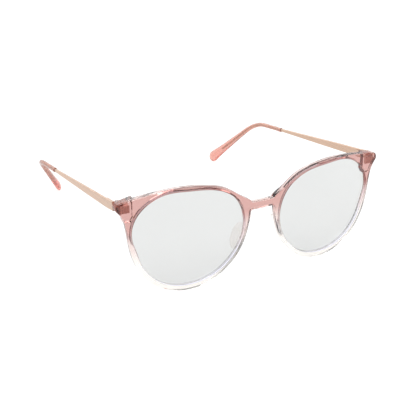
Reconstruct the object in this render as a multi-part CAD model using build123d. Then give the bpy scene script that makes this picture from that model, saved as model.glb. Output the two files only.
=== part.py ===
from build123d import *
import os
from math import asin, cos, degrees, radians, sin

# Spectacles standing open. Millimetres, +Z up, the front faces -Y, the wearer's left is +X.
# Every piece is drawn from one datum, on the face of the front midway between the lens centres,
# and is then moved so that the rims and the ends of the temple tips stand on Z = 0.

# Front
BASE_CURVE = 385.0          # radius of the sphere that the face is moulded to
RIM_DEPTH = 3.3
FACE_ROUND = 0.8            # rounding of the outer edges
LENS_ROUND = 0.3            # rounding of the edges beside a lens
NOTCH_ROUND = 0.8           # where the bridge meets the rims
LENS_LOOP = (140, 165)      # lengths between which an edge is one that goes round a lens

# Lens opening: distance from the lens centre in twelve directions, from the temple side upwards
LENS_CENTRE_X = 36.4
LENS_RADII = (25.9, 27.8, 25.0, 21.9, 23.7, 26.9, 26.9, 25.3, 24.5, 24.2, 24.7, 24.8)

# Lens
LENS_CURVE = 240.0
LENS_THICKNESS = 1.6
LENS_SETBACK = 0.55         # from the face of the front, at the lens centre
GROOVE_DEPTH = 0.7
LENS_BEVEL = 0.45
FIT_GAP = 0.04

# End pieces, the thick corners that hold the hinges
END_INNER_X = 61.3
END_BOTTOM_Z = 10.8
END_BACK_Y = 11.3
END_ROUND = 0.7
END_INSET = 0.12            # from the lens opening to the block

# Nose pads
PAD_HEIGHT = 13.5
PAD_REACH = 6.6
PAD_THICKNESS = 1.5
PAD_SPLAY = 30.0            # degrees, opening towards the wearer
PAD_FLARE = 19.0            # degrees, opening downwards
PAD_CENTRE = (10.5, 5.8, -6.3)

# Hinge
PIVOT_X = 66.4
PIVOT_Y = 13.1
HINGE_Z = 17.0
KNUCKLE_R = 1.45
OUTER_KNUCKLE = 1.2
MIDDLE_KNUCKLE = 1.5
KNUCKLE_GAP = 0.05
KNUCKLE_ARM = 2.2
SCREW_R = 0.60
BORE_R = 0.63
THREAD_BITE = 0.02
HEAD_R = 1.1
HEAD_HEIGHT = 0.55
SLOT_WIDTH = 0.3
SLOT_DEPTH = 0.25
FOOT = (4.2, 2.8, 3.4)      # across, along and up
FOOT_X = 65.1
RIB_PITCH = 1.2
RIB_GROOVE = 0.5
LEAF = (0.8, 8.0, 3.4)
LEAF_CLEARANCE = 0.3        # from the outer knuckles to the leaf

# Temple: a flat strip that ends in a wire inside the tip
TEMPLE_START = (68.6, 11.85, 17.45)
TEMPLE_DROP = 8.0           # degrees below level
STRIP_THICKNESS = 1.2
STRIP_LENGTH = 79.0
STRIP_EDGES = (             # distance along the strip, and from its middle up and down to its edges
    (0, 2.5, 1.7), (4, 2.2, 1.95), (14, 1.98, 1.98), (32, 1.7, 1.7), (56, 1.22, 1.22),
    (STRIP_LENGTH, 0.75, 0.75),
)
STRIP_ROUND = 0.3
WIRE_R = 0.55
PRESS_BITE = 0.02           # how much the wire is larger than its channel
WIRE_SHORT = 12.0           # from the end of the wire to the end of the tip

# Tip: it bends down and inward behind the ear, and widens to a round paddle
BEND_START = 97.5           # along the temple
BEND_RADIUS = 22.0
TIP_DROP = 43.4             # degrees below level after the bend
TIP_TUCK = 36.4             # degrees inward after the bend
TIP_STRAIGHT = 32.2
TIP_STATIONS = 14
PADDLE_RADIUS = 3.3
PADDLE_THICKNESS = 3.5
TIP_SIZES = (               # distance from the mouth, height and thickness
    (0, 2.3, 2.2), (20, 2.4, 2.3), (32, 2.7, 2.5), (44, 3.5, 2.8), (57, 5.0, 3.2),
    (66, 2 * PADDLE_RADIUS, PADDLE_THICKNESS),
)

# Where the datum stands
DATUM_BACK = 71.87          # from the datum forward to the middle of the whole depth
DATUM_HEIGHT = 27.15


# ---------------------------------------------------------------- shared shapes

def mirrored(shape):
    """The same piece on the other side of the nose."""
    return mirror(shape, about=Plane.YZ)


def prism(face):
    """Stretch an outline drawn in X and Z through the whole depth of the front."""
    return extrude(Plane.XZ * face, 40, both=True)


def shell(radius, front_y, thickness):
    """Curved plate between two concentric spheres, its face at front_y."""
    centre = Pos(0, front_y + radius, 0)
    return centre * Sphere(radius) - centre * Sphere(radius - thickness)


def along(angle_down, angle_in):
    """Direction that runs back, so far below level and so far inward, on the wearer's left."""
    level = cos(radians(angle_down))
    return Vector(-sin(radians(angle_in)) * level, cos(radians(angle_in)) * level, -sin(radians(angle_down)))


# ---------------------------------------------------------------- front and lenses

def front_outline():
    """Silhouette of the front. Half is drawn, from the bridge over the brow and round the rim."""
    bridge_top = Line((0, 11.3), (5.6, 11.4))
    brow = Spline(
        (5.6, 11.4), (10.0, 14.7), (18.5, 20.2), (28.0, 22.9), (38.0, 24.0), (48.0, 23.7), (68.0, 20.6),
        tangents=((0.55, 0.83), (0.98, -0.2)),
    )
    corner = Spline((68.0, 20.6), (69.8, 18.4), (66.5, 12.6), tangents=((0.98, -0.2), (-0.35, -0.94)))
    rim = Spline(
        (66.5, 12.6), (64.8, 3.0), (61.8, -9.8), (55.0, -20.0), (45.0, -25.9), (36.0, -27.15),
        (27.0, -25.4), (17.9, -19.3), (10.7, -10.0), (7.4, 0.0), (6.3, 7.5),
        tangents=((-0.35, -0.94), (-0.05, 1)),
    )
    bridge_under = Line((6.3, 7.5), (0, 7.5))
    middle = Line((0, 7.5), (0, 11.3))
    half = make_face([bridge_top, brow, corner, rim, bridge_under, middle])
    whole = half + mirrored(half)
    notches = [point for point in whole.vertices() if 5 < abs(point.X) < 7]
    return fillet(notches, NOTCH_ROUND)


def lens_outline(grow):
    """Lens opening, or the same shape larger by grow."""
    step = radians(360 / len(LENS_RADII))
    corners = [
        (LENS_CENTRE_X + (radius + grow) * cos(i * step), (radius + grow) * sin(i * step))
        for i, radius in enumerate(LENS_RADII)
    ]
    return make_face(Spline(corners, periodic=True))


def lens_blank(grow, gap):
    """Curved lens with a bevelled edge, set square to the face of the front at its centre."""
    turn = asin(LENS_CENTRE_X / BASE_CURVE)
    face_y = BASE_CURVE * (1 - cos(turn))
    place = Pos(LENS_CENTRE_X, face_y, 0) * Rot(0, 0, degrees(turn))
    plate = place * shell(LENS_CURVE, LENS_SETBACK - gap, LENS_THICKNESS + 2 * gap)
    blank = prism(lens_outline(grow)) & plate
    round_edges = [edge for edge in blank.edges() if edge.length > LENS_CURVE / 2]
    return chamfer(round_edges, LENS_BEVEL)


def on_sphere(edge, radius):
    """Whether an edge of the front lies on one of its two curved faces."""
    centre = Vector(0, BASE_CURVE, 0)
    return all(abs((edge.position_at(u) - centre).length - radius) < 0.01 for u in (0, 0.3, 0.6, 1))


def rim_plate(groove):
    """Both rims and the bridge, with the outer edges rounded more than those beside the lenses."""
    opening = prism(lens_outline(0))
    plate = prism(front_outline()) & shell(BASE_CURVE, 0, RIM_DEPTH)
    for cutter in (opening, groove):
        plate = plate - cutter - mirrored(cutter)
    for radius, beside_lens in ((FACE_ROUND, False), (LENS_ROUND, True)):
        edges = [
            edge
            for edge in plate.edges()
            if (on_sphere(edge, BASE_CURVE) or on_sphere(edge, BASE_CURVE - RIM_DEPTH))
            and (LENS_LOOP[0] < edge.length < LENS_LOOP[1]) == beside_lens
        ]
        plate = fillet(edges, radius)
    return plate


def end_piece():
    """Thick corner behind the face, cut square at the back, where the temple stops against it."""
    brow = Line((END_INNER_X, 21.75), (67.9, 20.45))
    corner = Spline((67.9, 20.45), (69.65, 18.4), (66.35, 12.65), tangents=((0.98, -0.2), (-0.35, -0.94)))
    root = Line((66.35, 12.65), (65.75, END_BOTTOM_Z))
    step = Line((65.75, END_BOTTOM_Z), (END_INNER_X, END_BOTTOM_Z))
    inner = Line((END_INNER_X, END_BOTTOM_Z), (END_INNER_X, 21.75))
    block = prism(make_face([brow, corner, root, step, inner]))
    block = block & shell(BASE_CURVE, RIM_DEPTH / 2, END_BACK_Y)
    block = block & Pos(0, END_BACK_Y, 0) * Box(200, 20, 100, align=(Align.CENTER, Align.MAX, Align.CENTER))
    block = block - prism(lens_outline(END_INSET))
    back_edges = block.faces().sort_by(Axis.Y)[-1].edges()
    return fillet(back_edges, END_ROUND)


def front_frame(hinge):
    """The moulded front, with a groove for each lens and a pocket for each hinge's foot."""
    groove = lens_blank(GROOVE_DEPTH + FIT_GAP, FIT_GAP)
    block = end_piece() - groove - hinge
    plate = rim_plate(groove) - hinge - mirrored(hinge)
    return plate + block + mirrored(block)


def nose_pad(front):
    """Clear pad bonded behind the nasal side of the left rim."""
    blank = extrude(Ellipse(PAD_REACH / 2, PAD_HEIGHT / 2), PAD_THICKNESS / 2, both=True)
    blank = fillet(blank.edges(), PAD_THICKNESS * 0.45)
    pad = Pos(*PAD_CENTRE) * Rot(0, -PAD_FLARE, 0) * Rot(0, 0, 90 - PAD_SPLAY) * Rot(90, 0, 0) * blank
    return pad - front


# ---------------------------------------------------------------- hinge

def knuckle(low_z, height, bore_r):
    """One ring of the hinge, standing on the pivot axis."""
    place = Pos(PIVOT_X, PIVOT_Y, low_z)
    align = (Align.CENTER, Align.CENTER, Align.MIN)
    return place * Cylinder(KNUCKLE_R, height, align=align), place * Cylinder(bore_r, height, align=align)


def knuckle_levels():
    """Bottom of the lower, middle and upper knuckles."""
    lower = HINGE_Z - MIDDLE_KNUCKLE / 2 - KNUCKLE_GAP - OUTER_KNUCKLE
    middle = HINGE_Z - MIDDLE_KNUCKLE / 2
    upper = HINGE_Z + MIDDLE_KNUCKLE / 2 + KNUCKLE_GAP
    return lower, middle, upper


def front_hinge():
    """Two knuckles on a ribbed foot that is set into the end piece."""
    across, along_y, up = FOOT
    foot = Pos(FOOT_X, END_BACK_Y, HINGE_Z) * Box(across, along_y, up, align=(Align.CENTER, Align.MAX, Align.CENTER))
    groove = Box(RIB_GROOVE, RIB_GROOVE, up)
    for i in (-1, 0, 1):
        foot -= Pos(FOOT_X + i * RIB_PITCH, END_BACK_Y - along_y, HINGE_Z) * groove
    lower, _, upper = knuckle_levels()
    hinge = foot
    for low_z, bore_r in ((lower, SCREW_R), (upper, BORE_R)):
        ring, bore = knuckle(low_z, OUTER_KNUCKLE, bore_r)
        arm = Pos(PIVOT_X, END_BACK_Y - along_y / 2, low_z) * Box(
            KNUCKLE_ARM, PIVOT_Y - END_BACK_Y + along_y / 2, OUTER_KNUCKLE, align=(Align.CENTER, Align.MIN, Align.MIN)
        )
        hinge = hinge + (ring + arm - bore)
    return hinge


def temple_hinge():
    """Middle knuckle on a leaf that is brazed to the inside of the temple."""
    thickness, along_y, up = LEAF
    inner_x = TEMPLE_START[0] - STRIP_THICKNESS / 2
    leaf_y = PIVOT_Y + KNUCKLE_R + LEAF_CLEARANCE
    leaf = Box(thickness, along_y, up, align=(Align.MAX, Align.MIN, Align.CENTER))
    leaf = fillet(leaf.faces().sort_by(Axis.Y)[-1].edges().filter_by(Axis.X), up / 3)
    leaf = Pos(inner_x, leaf_y, HINGE_Z) * Rot(-TEMPLE_DROP, 0, 0) * leaf
    _, middle, _ = knuckle_levels()
    ring, bore = knuckle(middle, MIDDLE_KNUCKLE, BORE_R)
    arm = Pos(inner_x, PIVOT_Y, middle) * Box(
        inner_x - PIVOT_X, leaf_y - PIVOT_Y + thickness, MIDDLE_KNUCKLE, align=(Align.MAX, Align.MIN, Align.MIN)
    )
    return leaf + (ring + arm - bore)


def hinge_screw():
    """Screw that is the hinge's pin: free in the upper knuckles, threaded into the lower one."""
    lower, middle, upper = knuckle_levels()
    top = upper + OUTER_KNUCKLE
    align = (Align.CENTER, Align.CENTER, Align.MIN)
    place = Pos(PIVOT_X, PIVOT_Y, lower)
    shank = place * Cylinder(SCREW_R, top - lower, align=align)
    thread = place * Cylinder(SCREW_R + THREAD_BITE, OUTER_KNUCKLE, align=align)
    head = Pos(PIVOT_X, PIVOT_Y, top) * Cylinder(HEAD_R, HEAD_HEIGHT, align=align)
    head = fillet(head.faces().sort_by(Axis.Z)[-1].edges(), HEAD_HEIGHT * 0.4)
    slot = Pos(PIVOT_X, PIVOT_Y, top + HEAD_HEIGHT) * Rot(0, 0, 35) * Box(4 * HEAD_R, SLOT_WIDTH, 2 * SLOT_DEPTH)
    return shank + thread + (head - slot)


# ---------------------------------------------------------------- temple and tip

def temple_path():
    """Centre line of the tip: its start, straight run, bend and the end of the paddle."""
    first = along(TEMPLE_DROP, 0)
    last = along(TIP_DROP, TIP_TUCK)
    turn = radians(first.get_angle(last))
    sideways = (last - first * first.dot(last)).normalized()
    start = Vector(*TEMPLE_START) + first * BEND_START
    centre = start + sideways * BEND_RADIUS

    def bend(angle):
        return centre - sideways * BEND_RADIUS * cos(angle) + first * BEND_RADIUS * sin(angle)

    return first, last, turn, start, bend


def station(distance):
    """Point and direction at a distance along the temple."""
    first, last, turn, start, bend = temple_path()
    beyond = distance - BEND_START
    if beyond <= 0:
        return start + first * beyond, first
    if beyond < turn * BEND_RADIUS:
        angle = beyond / BEND_RADIUS
        swing = (bend(angle + 0.01) - bend(angle - 0.01)).normalized()
        return bend(angle), swing
    return bend(turn) + last * (beyond - turn * BEND_RADIUS), last


def temple_length():
    return BEND_START + temple_path()[2] * BEND_RADIUS + TIP_STRAIGHT


def section(distance, height, thickness):
    """Oval across the tip, with its narrow way as near to level as it can be."""
    point, direction = station(distance)
    level = (Vector(1, 0, 0) - direction * direction.X).normalized()
    return Plane(point, x_dir=level, z_dir=direction) * Ellipse(thickness / 2, height / 2)


def wire(radius):
    """Wire that runs on from the strip through the tip."""
    begin = station(STRIP_LENGTH - 4)[0]
    bend_in = station(BEND_START)[0]
    turn = temple_path()[2]
    bend_mid = station(BEND_START + turn * BEND_RADIUS / 2)[0]
    bend_out = station(BEND_START + turn * BEND_RADIUS)[0]
    end = station(temple_length() - WIRE_SHORT)[0]
    path = Wire([
        Edge.make_line(begin, bend_in),
        Edge.make_three_point_arc(bend_in, bend_mid, bend_out),
        Edge.make_line(bend_out, end),
    ])
    first = along(TEMPLE_DROP, 0)
    return sweep(Plane(begin, x_dir=(1, 0, 0), z_dir=first) * Circle(radius), path=path)


def temple():
    """Flat strip cut to a tapering outline, with the wire at its back end."""
    upper = Spline([(along_strip, up) for along_strip, up, _ in STRIP_EDGES])
    lower = Spline([(along_strip, -down) for along_strip, _, down in STRIP_EDGES])
    front_end = Line(lower @ 0, upper @ 0)
    back_end = Line(upper @ 1, lower @ 1)
    outline = make_face([upper, back_end, lower, front_end])
    side = Plane(TEMPLE_START, x_dir=along(TEMPLE_DROP, 0), z_dir=(1, 0, 0))
    strip = extrude(side * outline, STRIP_THICKNESS / 2, both=True)
    long_edges = [edge for edge in strip.edges() if edge.length > STRIP_LENGTH / 2]
    return fillet(long_edges, STRIP_ROUND) + wire(WIRE_R)


def tip_size(distance):
    """Height and thickness of the tip at a distance from its mouth."""
    for near, far in zip(TIP_SIZES, TIP_SIZES[1:]):
        if distance <= far[0]:
            share = (distance - near[0]) / (far[0] - near[0])
            return [a + (b - a) * share for a, b in zip(near[1:], far[1:])]


def temple_tip():
    """Tip that widens to a round paddle, with a channel for the wire."""
    round_start = temple_length() - PADDLE_RADIUS
    run = round_start - STRIP_LENGTH
    arm = loft([
        section(STRIP_LENGTH + i * run / TIP_STATIONS, *tip_size(i * TIP_SIZES[-1][0] / TIP_STATIONS))
        for i in range(TIP_STATIONS + 1)
    ])
    end = []
    for angle in (0, 22, 44, 64, 80):
        shrink = cos(radians(angle))
        reach = round_start + PADDLE_RADIUS * sin(radians(angle))
        end.append(section(reach, 2 * PADDLE_RADIUS * shrink, PADDLE_THICKNESS * shrink))
    return arm - wire(WIRE_R - PRESS_BITE) + loft(end)


# ---------------------------------------------------------------- the nodes

def build():
    hinge = front_hinge()
    front = front_frame(hinge)
    left = {
        "lens": lens_blank(GROOVE_DEPTH, 0),
        "nose_pad": nose_pad(front),
        "front_hinge": hinge,
        "hinge_screw": hinge_screw(),
        "temple_hinge": temple_hinge(),
        "temple": temple(),
        "temple_tip": temple_tip(),
    }
    nodes = {"front_frame": front}
    for name, shape in left.items():
        nodes[name + "_left"] = shape
        nodes[name + "_right"] = mirrored(shape)
    return nodes


os.makedirs("parts", exist_ok=True)
for name, shape in build().items():
    export_step(Pos(0, -DATUM_BACK, DATUM_HEIGHT) * shape, f"parts/{name}.step")
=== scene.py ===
from math import cos, radians, sin

import bmesh
import bpy
from mathutils import Matrix, Vector

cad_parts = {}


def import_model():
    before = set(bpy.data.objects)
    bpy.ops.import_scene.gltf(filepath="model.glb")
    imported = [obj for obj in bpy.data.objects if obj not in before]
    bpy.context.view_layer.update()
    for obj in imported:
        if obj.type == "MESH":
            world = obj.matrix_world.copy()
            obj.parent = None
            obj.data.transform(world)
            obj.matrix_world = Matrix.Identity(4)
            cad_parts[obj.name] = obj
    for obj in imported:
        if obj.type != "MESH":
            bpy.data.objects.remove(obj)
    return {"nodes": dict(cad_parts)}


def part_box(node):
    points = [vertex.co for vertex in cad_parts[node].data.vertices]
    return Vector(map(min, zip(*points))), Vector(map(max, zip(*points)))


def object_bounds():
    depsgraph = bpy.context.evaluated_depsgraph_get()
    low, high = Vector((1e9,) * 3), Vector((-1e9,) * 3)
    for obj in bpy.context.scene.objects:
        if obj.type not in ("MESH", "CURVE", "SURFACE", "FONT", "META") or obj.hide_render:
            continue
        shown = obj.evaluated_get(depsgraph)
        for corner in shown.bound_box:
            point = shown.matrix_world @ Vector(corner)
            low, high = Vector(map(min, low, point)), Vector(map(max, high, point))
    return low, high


# Looks of a pair of spectacles. Every piece shown is a CAD node, which gets its material here. The
# scene adds only the floor, the sky, the lamps and the camera.

MM = 0.001
SIDES = ("right", "left")

# Camera, in metres in the row frame
CAMERA_AT = Vector((-0.1870, -0.35912, 0.19074))
CAMERA_RIGHT = Vector((0.87863, -0.47738, 0.01083))
CAMERA_UP = Vector((0.19000, 0.37031, 0.90927))
CAMERA_LENS = 71.0
CAMERA_SENSOR = 36.0

# Colours, as light passes or leaves them
ROSE = (0.62, 0.36, 0.33)
# Painted highlight: the paler rose of the front's top faces, where light from above falls
TOP_HIGHLIGHT_ROSE = (0.93, 0.80, 0.76)
# Painted shade and painted reflection on the walls of the lens openings: deep rose shade high up, pale
# between, and low down a blue reflection of the lens coating
WALL_SHADE_ROSE = (0.27, 0.085, 0.075)
WALL_PAINTED_PALE = (0.84, 0.68, 0.70)
COATING_REFLECTION_BLUE = (0.74, 0.76, 0.96)
CLEAR = (0.93, 0.90, 0.86)
LENS_TINT = (0.70, 0.71, 0.70)
# Painted reflection of the lens's blue-violet coating, at the lens edge
COATING_REFLECTION = (0.34, 0.36, 0.86)
COATING_GLOSS = (0.55, 0.6, 1.0)
ROSE_GOLD = (0.64, 0.455, 0.345)
HINGE_METAL = (0.62, 0.36, 0.30)
SCREW_METAL = (0.42, 0.36, 0.34)
CORAL = (0.88, 0.69, 0.61)
CORAL_DEPTH = (0.93, 0.33, 0.26)
CORAL_DENSITY = 230.0        # per metre
PAD_TINT = (0.97, 0.93, 0.92)

# Where the dye of the front changes, as shares of the front's height from the bottom; the painted shade
# and reflection on the walls and the painted highlight on top follow the same height
FACE_STOPS = (0.33, 0.52, 0.69)
PAINTED_WALL_STOPS = (0.30, 0.48, 0.68)
TOP_HIGHLIGHT_STOPS = (0.4, 0.8)
FACE_CLEARNESS = 1.3         # parts of clear to one of rose at the middle stop of the face
DYE_CLOUD = 0.02             # how far the border of the dye wanders
PAINTED_WALL_SHOWS_THROUGH = (0.35, 0.6)         # the walls' painted shade and painted reflection come to show through the plastic too

# Cosines between a surface's normal and a direction: a tint starts at the first and is full at the second
TOP_HIGHLIGHT_FACES = (0.45, 0.85)     # with straight up: the top of the front, which gets a painted highlight of the light from above
PAINTED_WALL_FACES = (0.45, 0.8)     # with the way to the lens centre: the walls of the lens openings, which get painted shade and a painted reflection

# The same with front to back, for the painted reflection of the coating at the edge of a lens: full tint
# up to the first, none from the second
LENS_EDGE_REFLECTION = (0.4, 0.85)

# Unevenness of the surfaces: patches per metre, and the least and most roughness
FRONT_POLISH = (350, 0.01, 0.05)
LENS_POLISH = (300, 0.0, 0.02)
PAD_POLISH = (900, 0.08, 0.2)
TIP_POLISH = (700, 0.14, 0.28)
FINE_DETAIL = 2
NOISE_SPAN = (0.3, 0.7)      # part of a noise's values that is spread over the whole change
POLISHED_SPAN = (0.35, 0.7)

# Mottling of the colours: patches per metre, and tone of the darkest patch
DYE_MOTTLE = 60
LENS_MOTTLE = 18
LENS_SHADE = 0.985
# mottling of the painted reflection of the coating
COATING_REFLECTION_MOTTLE = 40
PAD_MOTTLE = 120
TIP_MOTTLE = 90
TIP_SHADE = 0.94

# Metals: roughness where the grain is smoothest, size of the grain, stretch of the grain along x, y, z
TEMPLE_GRAIN = (0.24, 900, (1, 0.03, 1))
HINGE_GRAIN = (0.25, 1500, (1, 1, 1))
SCREW_GRAIN = (0.2, 2500, (1, 1, 1))
GRAIN_ROUGHNESS = 0.14       # what the grain adds to the roughness at most
GRAIN_SHADE = 0.86           # tone of the darkest grain
GRAIN_DETAIL = 4
GRAIN_BUMP = 0.12
GRAIN_DEPTH = 0.05 * MM

# Metal feet moulded into plastic
HINGE_SWELL = 0.015 * MM
WELD_WITHIN = 0.001 * MM

# Stage. The floor is a light table: it glows, so that clear plastic on it keeps its own tone
BACKDROP = (0.35, 0.35, 0.35)
FLOOR_GLOW = 0.72
FLOOR_GAP = 0.02 * MM        # below the object
FLOOR_REACH = 3.0
FLOOR_HALF_WIDTH = 4.0
BACKDROP_HEIGHT = 3.0
BACKDROP_CURVE = 1.0
BACKDROP_STEP = 10           # degrees of the curve in one facet
SKY_STRENGTH = 0.7
SKY = ((0.0, 0.22), (0.55, 1.0))        # sine of the height above the horizon, and how light it is

# Name, place from the middle of the object, size in metres and watts
LAMPS = (
    ("key", (-0.5, -0.7, 1.3), 0.9, 11),
    ("fill", (0.9, -0.4, 0.8), 0.8, 5),
    ("back", (0.1, 1.1, 0.9), 1.0, 6),
)

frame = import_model()
cad_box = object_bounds()


# ---------------------------------------------------------------- node trees

class Tree:
    """Short names for building a material's node tree."""

    def __init__(self, name):
        self.material = bpy.data.materials.new(name)
        self.material.use_nodes = True
        self.nodes = self.material.node_tree.nodes
        self.links = self.material.node_tree.links
        self.nodes.clear()
        self.out = self.nodes.new("ShaderNodeOutputMaterial")

    def add(self, kind, inputs=(), **settings):
        node = self.nodes.new("ShaderNode" + kind)
        for key, value in settings.items():
            setattr(node, key, value)
        for key, value in dict(inputs).items():
            self.put(node.inputs[key], value)
        return node

    def put(self, socket, value):
        """Give a socket a number, a colour or a link from another socket."""
        if isinstance(value, bpy.types.NodeSocket):
            self.links.new(value, socket)
        elif isinstance(value, tuple) and len(value) == 3 and socket.type == "RGBA":
            socket.default_value = (*value, 1)
        else:
            socket.default_value = value

    def ramp(self, factor, stops):
        """Eased colour ramp over (position, colour) stops."""
        node = self.add("ValToRGB", {"Fac": factor})
        ramp = node.color_ramp
        ramp.interpolation = "EASE"
        while len(ramp.elements) < len(stops):
            ramp.elements.new(0.5)
        for element, (position, colour) in zip(ramp.elements, stops):
            element.position = position
            element.color = (*colour, 1)
        return node.outputs["Color"]

    def place(self):
        """Object coordinates, which are the row frame in metres."""
        return self.add("TexCoord").outputs["Object"]

    def noise(self, scale, detail=3.0, stretch=(1, 1, 1)):
        spread = self.add("Mapping", {"Vector": self.place(), "Scale": stretch})
        node = self.add("TexNoise", {"Vector": spread.outputs[0], "Scale": scale, "Detail": detail})
        return node.outputs["Fac"]

    def uneven(self, scale, to_low, to_high, detail=3.0, span=NOISE_SPAN):
        """A number that wanders between to_low and to_high over the surface."""
        return self.range(self.noise(scale, detail), *span, to_low, to_high)

    def range(self, value, low, high, to_low, to_high):
        node = self.add("MapRange", {"Value": value, "From Min": low, "From Max": high,
                                     "To Min": to_low, "To Max": to_high})
        return node.outputs[0]

    def math(self, operation, *values):
        return self.add("Math", dict(enumerate(values)), operation=operation).outputs[0]

    def blend(self, share, first, second):
        """First colour where share is 0, second where it is 1."""
        node = self.add("Mix", {0: share}, data_type="RGBA")
        self.put(node.inputs[6], first)
        self.put(node.inputs[7], second)
        return node.outputs[2]

    def bump(self, height, strength, distance):
        node = self.add("Bump", {"Height": height, "Strength": strength, "Distance": distance})
        return node.outputs["Normal"]

    def surface(self, shader, glow_through=None):
        """Set the surface. With glow_through, lamps pass it in that colour and it casts a pale shadow."""
        if glow_through is not None:
            path = self.add("LightPath")
            clear = self.add("BsdfTransparent", {"Color": glow_through})
            mix = self.add("MixShader", {
                0: path.outputs["Is Shadow Ray"], 1: shader, 2: clear.outputs[0],
            })
            shader = mix.outputs[0]
        self.links.new(shader, self.out.inputs["Surface"])
        return self.material


def dimmed(colour, share):
    """A colour at a share of its light."""
    return tuple(share * c for c in colour)


def height_of(tree):
    """Height above the floor, in metres."""
    return tree.add("SeparateXYZ", {"Vector": tree.place()}).outputs["Z"]


def lens_centre(node):
    low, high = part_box(node)
    return (low + high) / 2


def share_of_height(tree):
    """0 at the bottom of the rims and 1 at the top, with a slightly cloudy border."""
    low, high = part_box("front_frame")
    tall = high.z - low.z
    cloud = tree.uneven(DYE_MOTTLE, -DYE_CLOUD * tall, DYE_CLOUD * tall)
    height = tree.math("ADD", height_of(tree), cloud)
    return tree.range(height, low.z, high.z, 0, 1)


def facing(tree):
    """Object-space normal as three sockets."""
    return tree.add("SeparateXYZ", {"Vector": tree.add("TexCoord").outputs["Normal"]}).outputs


def painted_wall_share(tree):
    """1 on the walls of the lens openings, which face the lens centre, and 0 elsewhere: where the painted
    shade and painted reflection go.
    """
    centre = lens_centre("lens_left")
    at = tree.add("SeparateXYZ", {"Vector": tree.place()}).outputs
    normal = facing(tree)
    side = tree.math("SIGN", at["X"])
    inward = tree.add("CombineXYZ", {
        "X": tree.math("SUBTRACT", centre.x, tree.math("ABSOLUTE", at["X"])),
        "Z": tree.math("SUBTRACT", centre.z, at["Z"]),
    })
    inward = tree.add("VectorMath", {0: inward.outputs[0]}, operation="NORMALIZE")
    way = tree.add("CombineXYZ", {
        "X": tree.math("MULTIPLY", normal["X"], side), "Y": normal["Y"], "Z": normal["Z"],
    })
    match = tree.add("VectorMath", {0: inward.outputs[0], 1: way.outputs[0]}, operation="DOT_PRODUCT")
    return tree.range(match.outputs["Value"], *PAINTED_WALL_FACES, 0, 1)


def front_material():
    """Clear plastic dyed rose from the top, deeper on the walls of the lens openings with painted shade,
    bluish low on those walls with a painted reflection of the lens coating, and paler on top with a
    painted highlight.
    """
    tree = Tree("front_plastic")
    share = share_of_height(tree)
    between = tuple((a + FACE_CLEARNESS * b) / (1 + FACE_CLEARNESS) for a, b in zip(ROSE, CLEAR))
    face = tree.ramp(share, list(zip(FACE_STOPS, (CLEAR, between, ROSE))))
    # Painted shade deepening the rose on the walls of the lens openings, with a painted reflection of the
    # lens coating low on them
    painted_wall = tree.ramp(share, list(zip(PAINTED_WALL_STOPS, (COATING_REFLECTION_BLUE, WALL_PAINTED_PALE, WALL_SHADE_ROSE))))
    # Painted highlight: the top faces paler, where light from above falls on them
    top = tree.ramp(share, list(zip(TOP_HIGHLIGHT_STOPS, (CLEAR, TOP_HIGHLIGHT_ROSE))))
    top_highlight_share = tree.range(facing(tree)["Z"], *TOP_HIGHLIGHT_FACES, 0, 1)
    colour = tree.blend(top_highlight_share, face, top)
    # Low down, the walls show their painted shade and painted reflection only from the open side
    inside = tree.add("NewGeometry").outputs["Backfacing"]
    low_down = tree.range(share, *PAINTED_WALL_SHOWS_THROUGH, 1, 0)
    seen = tree.math("SUBTRACT", 1, tree.math("MULTIPLY", inside, low_down))
    colour = tree.blend(tree.math("MULTIPLY", painted_wall_share(tree), seen), colour, painted_wall)
    polish = tree.uneven(*FRONT_POLISH, FINE_DETAIL, POLISHED_SPAN)
    glass = tree.add("BsdfPrincipled", {
        "Base Color": colour, "Roughness": polish, "IOR": 1.47, "Transmission Weight": 1.0,
    })
    return tree.surface(glass.outputs[0], glow_through=colour)


def lens_material():
    """Clear lens, faintly grey, with a painted reflection of its blue-violet coating at its edge."""
    tree = Tree("lens")
    polish = tree.uneven(*LENS_POLISH, FINE_DETAIL, POLISHED_SPAN)
    body = tree.ramp(tree.noise(LENS_MOTTLE), [(0.3, LENS_TINT), (0.75, dimmed(LENS_TINT, LENS_SHADE))])
    edge = tree.range(tree.math("ABSOLUTE", facing(tree)["Y"]), *LENS_EDGE_REFLECTION, 1, 0)
    # Painted reflection: the violet of the coating, painted onto the lens edge
    coating = tree.ramp(tree.noise(COATING_REFLECTION_MOTTLE), [(0.3, COATING_REFLECTION), (0.7, COATING_REFLECTION_BLUE)])
    tint = tree.blend(edge, body, coating)
    glass = tree.add("BsdfPrincipled", {
        "Base Color": tint, "Roughness": polish, "IOR": 1.5, "Transmission Weight": 1.0,
        "Specular Tint": (*COATING_GLOSS, 1),
    })
    return tree.surface(glass.outputs[0], glow_through=tint)


def pad_material():
    """Clear soft plastic with a low gloss."""
    tree = Tree("nose_pad")
    tint = tree.ramp(tree.noise(PAD_MOTTLE), [(0.3, PAD_TINT), (0.7, CLEAR)])
    glass = tree.add("BsdfPrincipled", {
        "Base Color": tint, "Roughness": tree.uneven(*PAD_POLISH), "IOR": 1.14,
        "Transmission Weight": 1.0,
    })
    return tree.surface(glass.outputs[0], glow_through=tint)


def metal_material(name, colour, smooth, grain, stretch):
    """Metal with a drawn grain along the piece and small changes of tone."""
    tree = Tree(name)
    lines = tree.noise(grain, GRAIN_DETAIL, stretch)
    tone = tree.ramp(lines, [(0.25, dimmed(colour, GRAIN_SHADE)), (0.75, colour)])
    metal = tree.add("BsdfPrincipled", {
        "Base Color": tone, "Metallic": 1.0,
        "Roughness": tree.range(lines, *NOISE_SPAN, smooth, smooth + GRAIN_ROUGHNESS),
        "Normal": tree.bump(lines, GRAIN_BUMP, GRAIN_DEPTH),
    })
    return tree.surface(metal.outputs[0])


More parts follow.
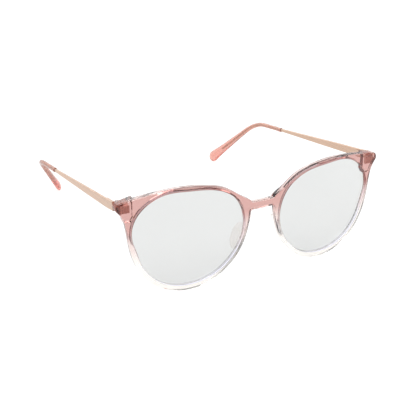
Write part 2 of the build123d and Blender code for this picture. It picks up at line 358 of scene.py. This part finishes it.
def tip_material():
    """Milky coral plastic: the more of it light passes, the redder it comes out."""
    tree = Tree("tip_plastic")
    colour = tree.ramp(tree.noise(TIP_MOTTLE), [(0.3, dimmed(CORAL, TIP_SHADE)), (0.7, CORAL)])
    plastic = tree.add("BsdfPrincipled", {
        "Base Color": colour, "Roughness": tree.uneven(*TIP_POLISH), "IOR": 1.4,
        "Transmission Weight": 0.8,
    })
    depth = tree.add("VolumeAbsorption", {"Color": CORAL_DEPTH, "Density": CORAL_DENSITY})
    tree.links.new(depth.outputs[0], tree.out.inputs["Volume"])
    return tree.surface(plastic.outputs[0], glow_through=colour)


def swell(node, by):
    """Grow a CAD node by a hair, so that no film of air shows between it and plastic moulded round it."""
    piece = frame["nodes"][node]
    weld = piece.modifiers.new("weld", "WELD")
    weld.merge_threshold = WELD_WITHIN
    grow = piece.modifiers.new("grow", "DISPLACE")
    grow.strength = by
    grow.mid_level = 0


def dress(node, material):
    """Give a CAD node its finished material."""
    slots = frame["nodes"][node].data.materials
    slots.clear()
    slots.append(material)


# ---------------------------------------------------------------- materials on the CAD nodes

front_plastic = front_material()
lens_and_painted_reflection = lens_material()
pad_plastic = pad_material()
temple_metal = metal_material("temple_metal", ROSE_GOLD, *TEMPLE_GRAIN)
hinge_metal = metal_material("hinge_metal", HINGE_METAL, *HINGE_GRAIN)
screw_metal = metal_material("screw_metal", SCREW_METAL, *SCREW_GRAIN)
tip_plastic = tip_material()

dress("front_frame", front_plastic)
for side in SIDES:
    dress("lens_" + side, lens_and_painted_reflection)
    dress("nose_pad_" + side, pad_plastic)
    dress("front_hinge_" + side, hinge_metal)
    dress("temple_hinge_" + side, temple_metal)
    dress("hinge_screw_" + side, screw_metal)
    dress("temple_" + side, temple_metal)
    dress("temple_tip_" + side, tip_plastic)
    swell("front_hinge_" + side, HINGE_SWELL)


# ---------------------------------------------------------------- stage, lights and camera

def floor():
    """Pale floor that runs up into a backdrop behind the object."""
    low, high = cad_box
    centre = (low + high) / 2
    flat = FLOOR_REACH - BACKDROP_CURVE
    bends = [radians(a) for a in range(BACKDROP_STEP, 90 + 1, BACKDROP_STEP)]
    profile = [(-FLOOR_REACH, 0.0), (flat, 0.0)]
    profile += [(flat + BACKDROP_CURVE * sin(a), BACKDROP_CURVE * (1 - cos(a))) for a in bends]
    profile.append((FLOOR_REACH, BACKDROP_HEIGHT))
    mesh = bmesh.new()
    rows = []
    for x in (-FLOOR_HALF_WIDTH, FLOOR_HALF_WIDTH):
        rows.append([
            mesh.verts.new((centre.x + x, centre.y + y, low.z - FLOOR_GAP + z)) for y, z in profile
        ])
    for i in range(len(profile) - 1):
        mesh.faces.new((rows[0][i], rows[1][i], rows[1][i + 1], rows[0][i + 1]))
    data = bpy.data.meshes.new("floor")
    mesh.to_mesh(data)
    mesh.free()
    piece = bpy.data.objects.new("floor", data)
    bpy.context.scene.collection.objects.link(piece)
    tree = Tree("floor")
    paper = tree.add("BsdfDiffuse", {"Color": BACKDROP})
    light = tree.add("Emission", {"Color": (1, 1, 1), "Strength": FLOOR_GLOW})
    both = tree.add("AddShader", {0: paper.outputs[0], 1: light.outputs[0]})
    data.materials.append(tree.surface(both.outputs[0]))


def lamp(name, at, size, power):
    """Soft square lamp that looks at the middle of the object."""
    low, high = cad_box
    target = (low + high) / 2
    data = bpy.data.lights.new(name, "AREA")
    data.size = size
    data.energy = power
    piece = bpy.data.objects.new(name, data)
    piece.location = target + Vector(at)
    piece.rotation_euler = (-Vector(at)).to_track_quat("-Z", "Y").to_euler()
    bpy.context.scene.collection.objects.link(piece)


def world():
    """Pale studio, darker towards the horizon, which draws the edges of clear plastic."""
    sky = bpy.data.worlds.new("studio")
    bpy.context.scene.world = sky
    sky.use_nodes = True
    nodes = sky.node_tree.nodes
    links = sky.node_tree.links
    way = nodes.new("ShaderNodeTexCoord")
    split = nodes.new("ShaderNodeSeparateXYZ")
    ramp = nodes.new("ShaderNodeValToRGB")
    links.new(way.outputs["Generated"], split.inputs[0])
    links.new(split.outputs["Z"], ramp.inputs["Fac"])
    links.new(ramp.outputs["Color"], nodes["Background"].inputs["Color"])
    for element, (position, grey) in zip(ramp.color_ramp.elements, SKY):
        element.position = position
        element.color = (grey, grey, grey, 1)
    nodes["Background"].inputs["Strength"].default_value = SKY_STRENGTH


def camera():
    data = bpy.data.cameras.new("camera")
    data.lens = CAMERA_LENS
    data.sensor_width = CAMERA_SENSOR
    data.clip_start = 0.01
    piece = bpy.data.objects.new("camera", data)
    right = CAMERA_RIGHT.normalized()
    back = right.cross(CAMERA_UP).normalized()
    up = back.cross(right)
    turn = Matrix((right, up, back)).transposed().to_4x4()
    piece.matrix_world = Matrix.Translation(CAMERA_AT) @ turn
    bpy.context.scene.collection.objects.link(piece)
    bpy.context.scene.camera = piece


floor()
world()
for name, at, size, power in LAMPS:
    lamp(name, at, size, power)
camera()
bpy.context.scene.view_settings.view_transform = "Standard"
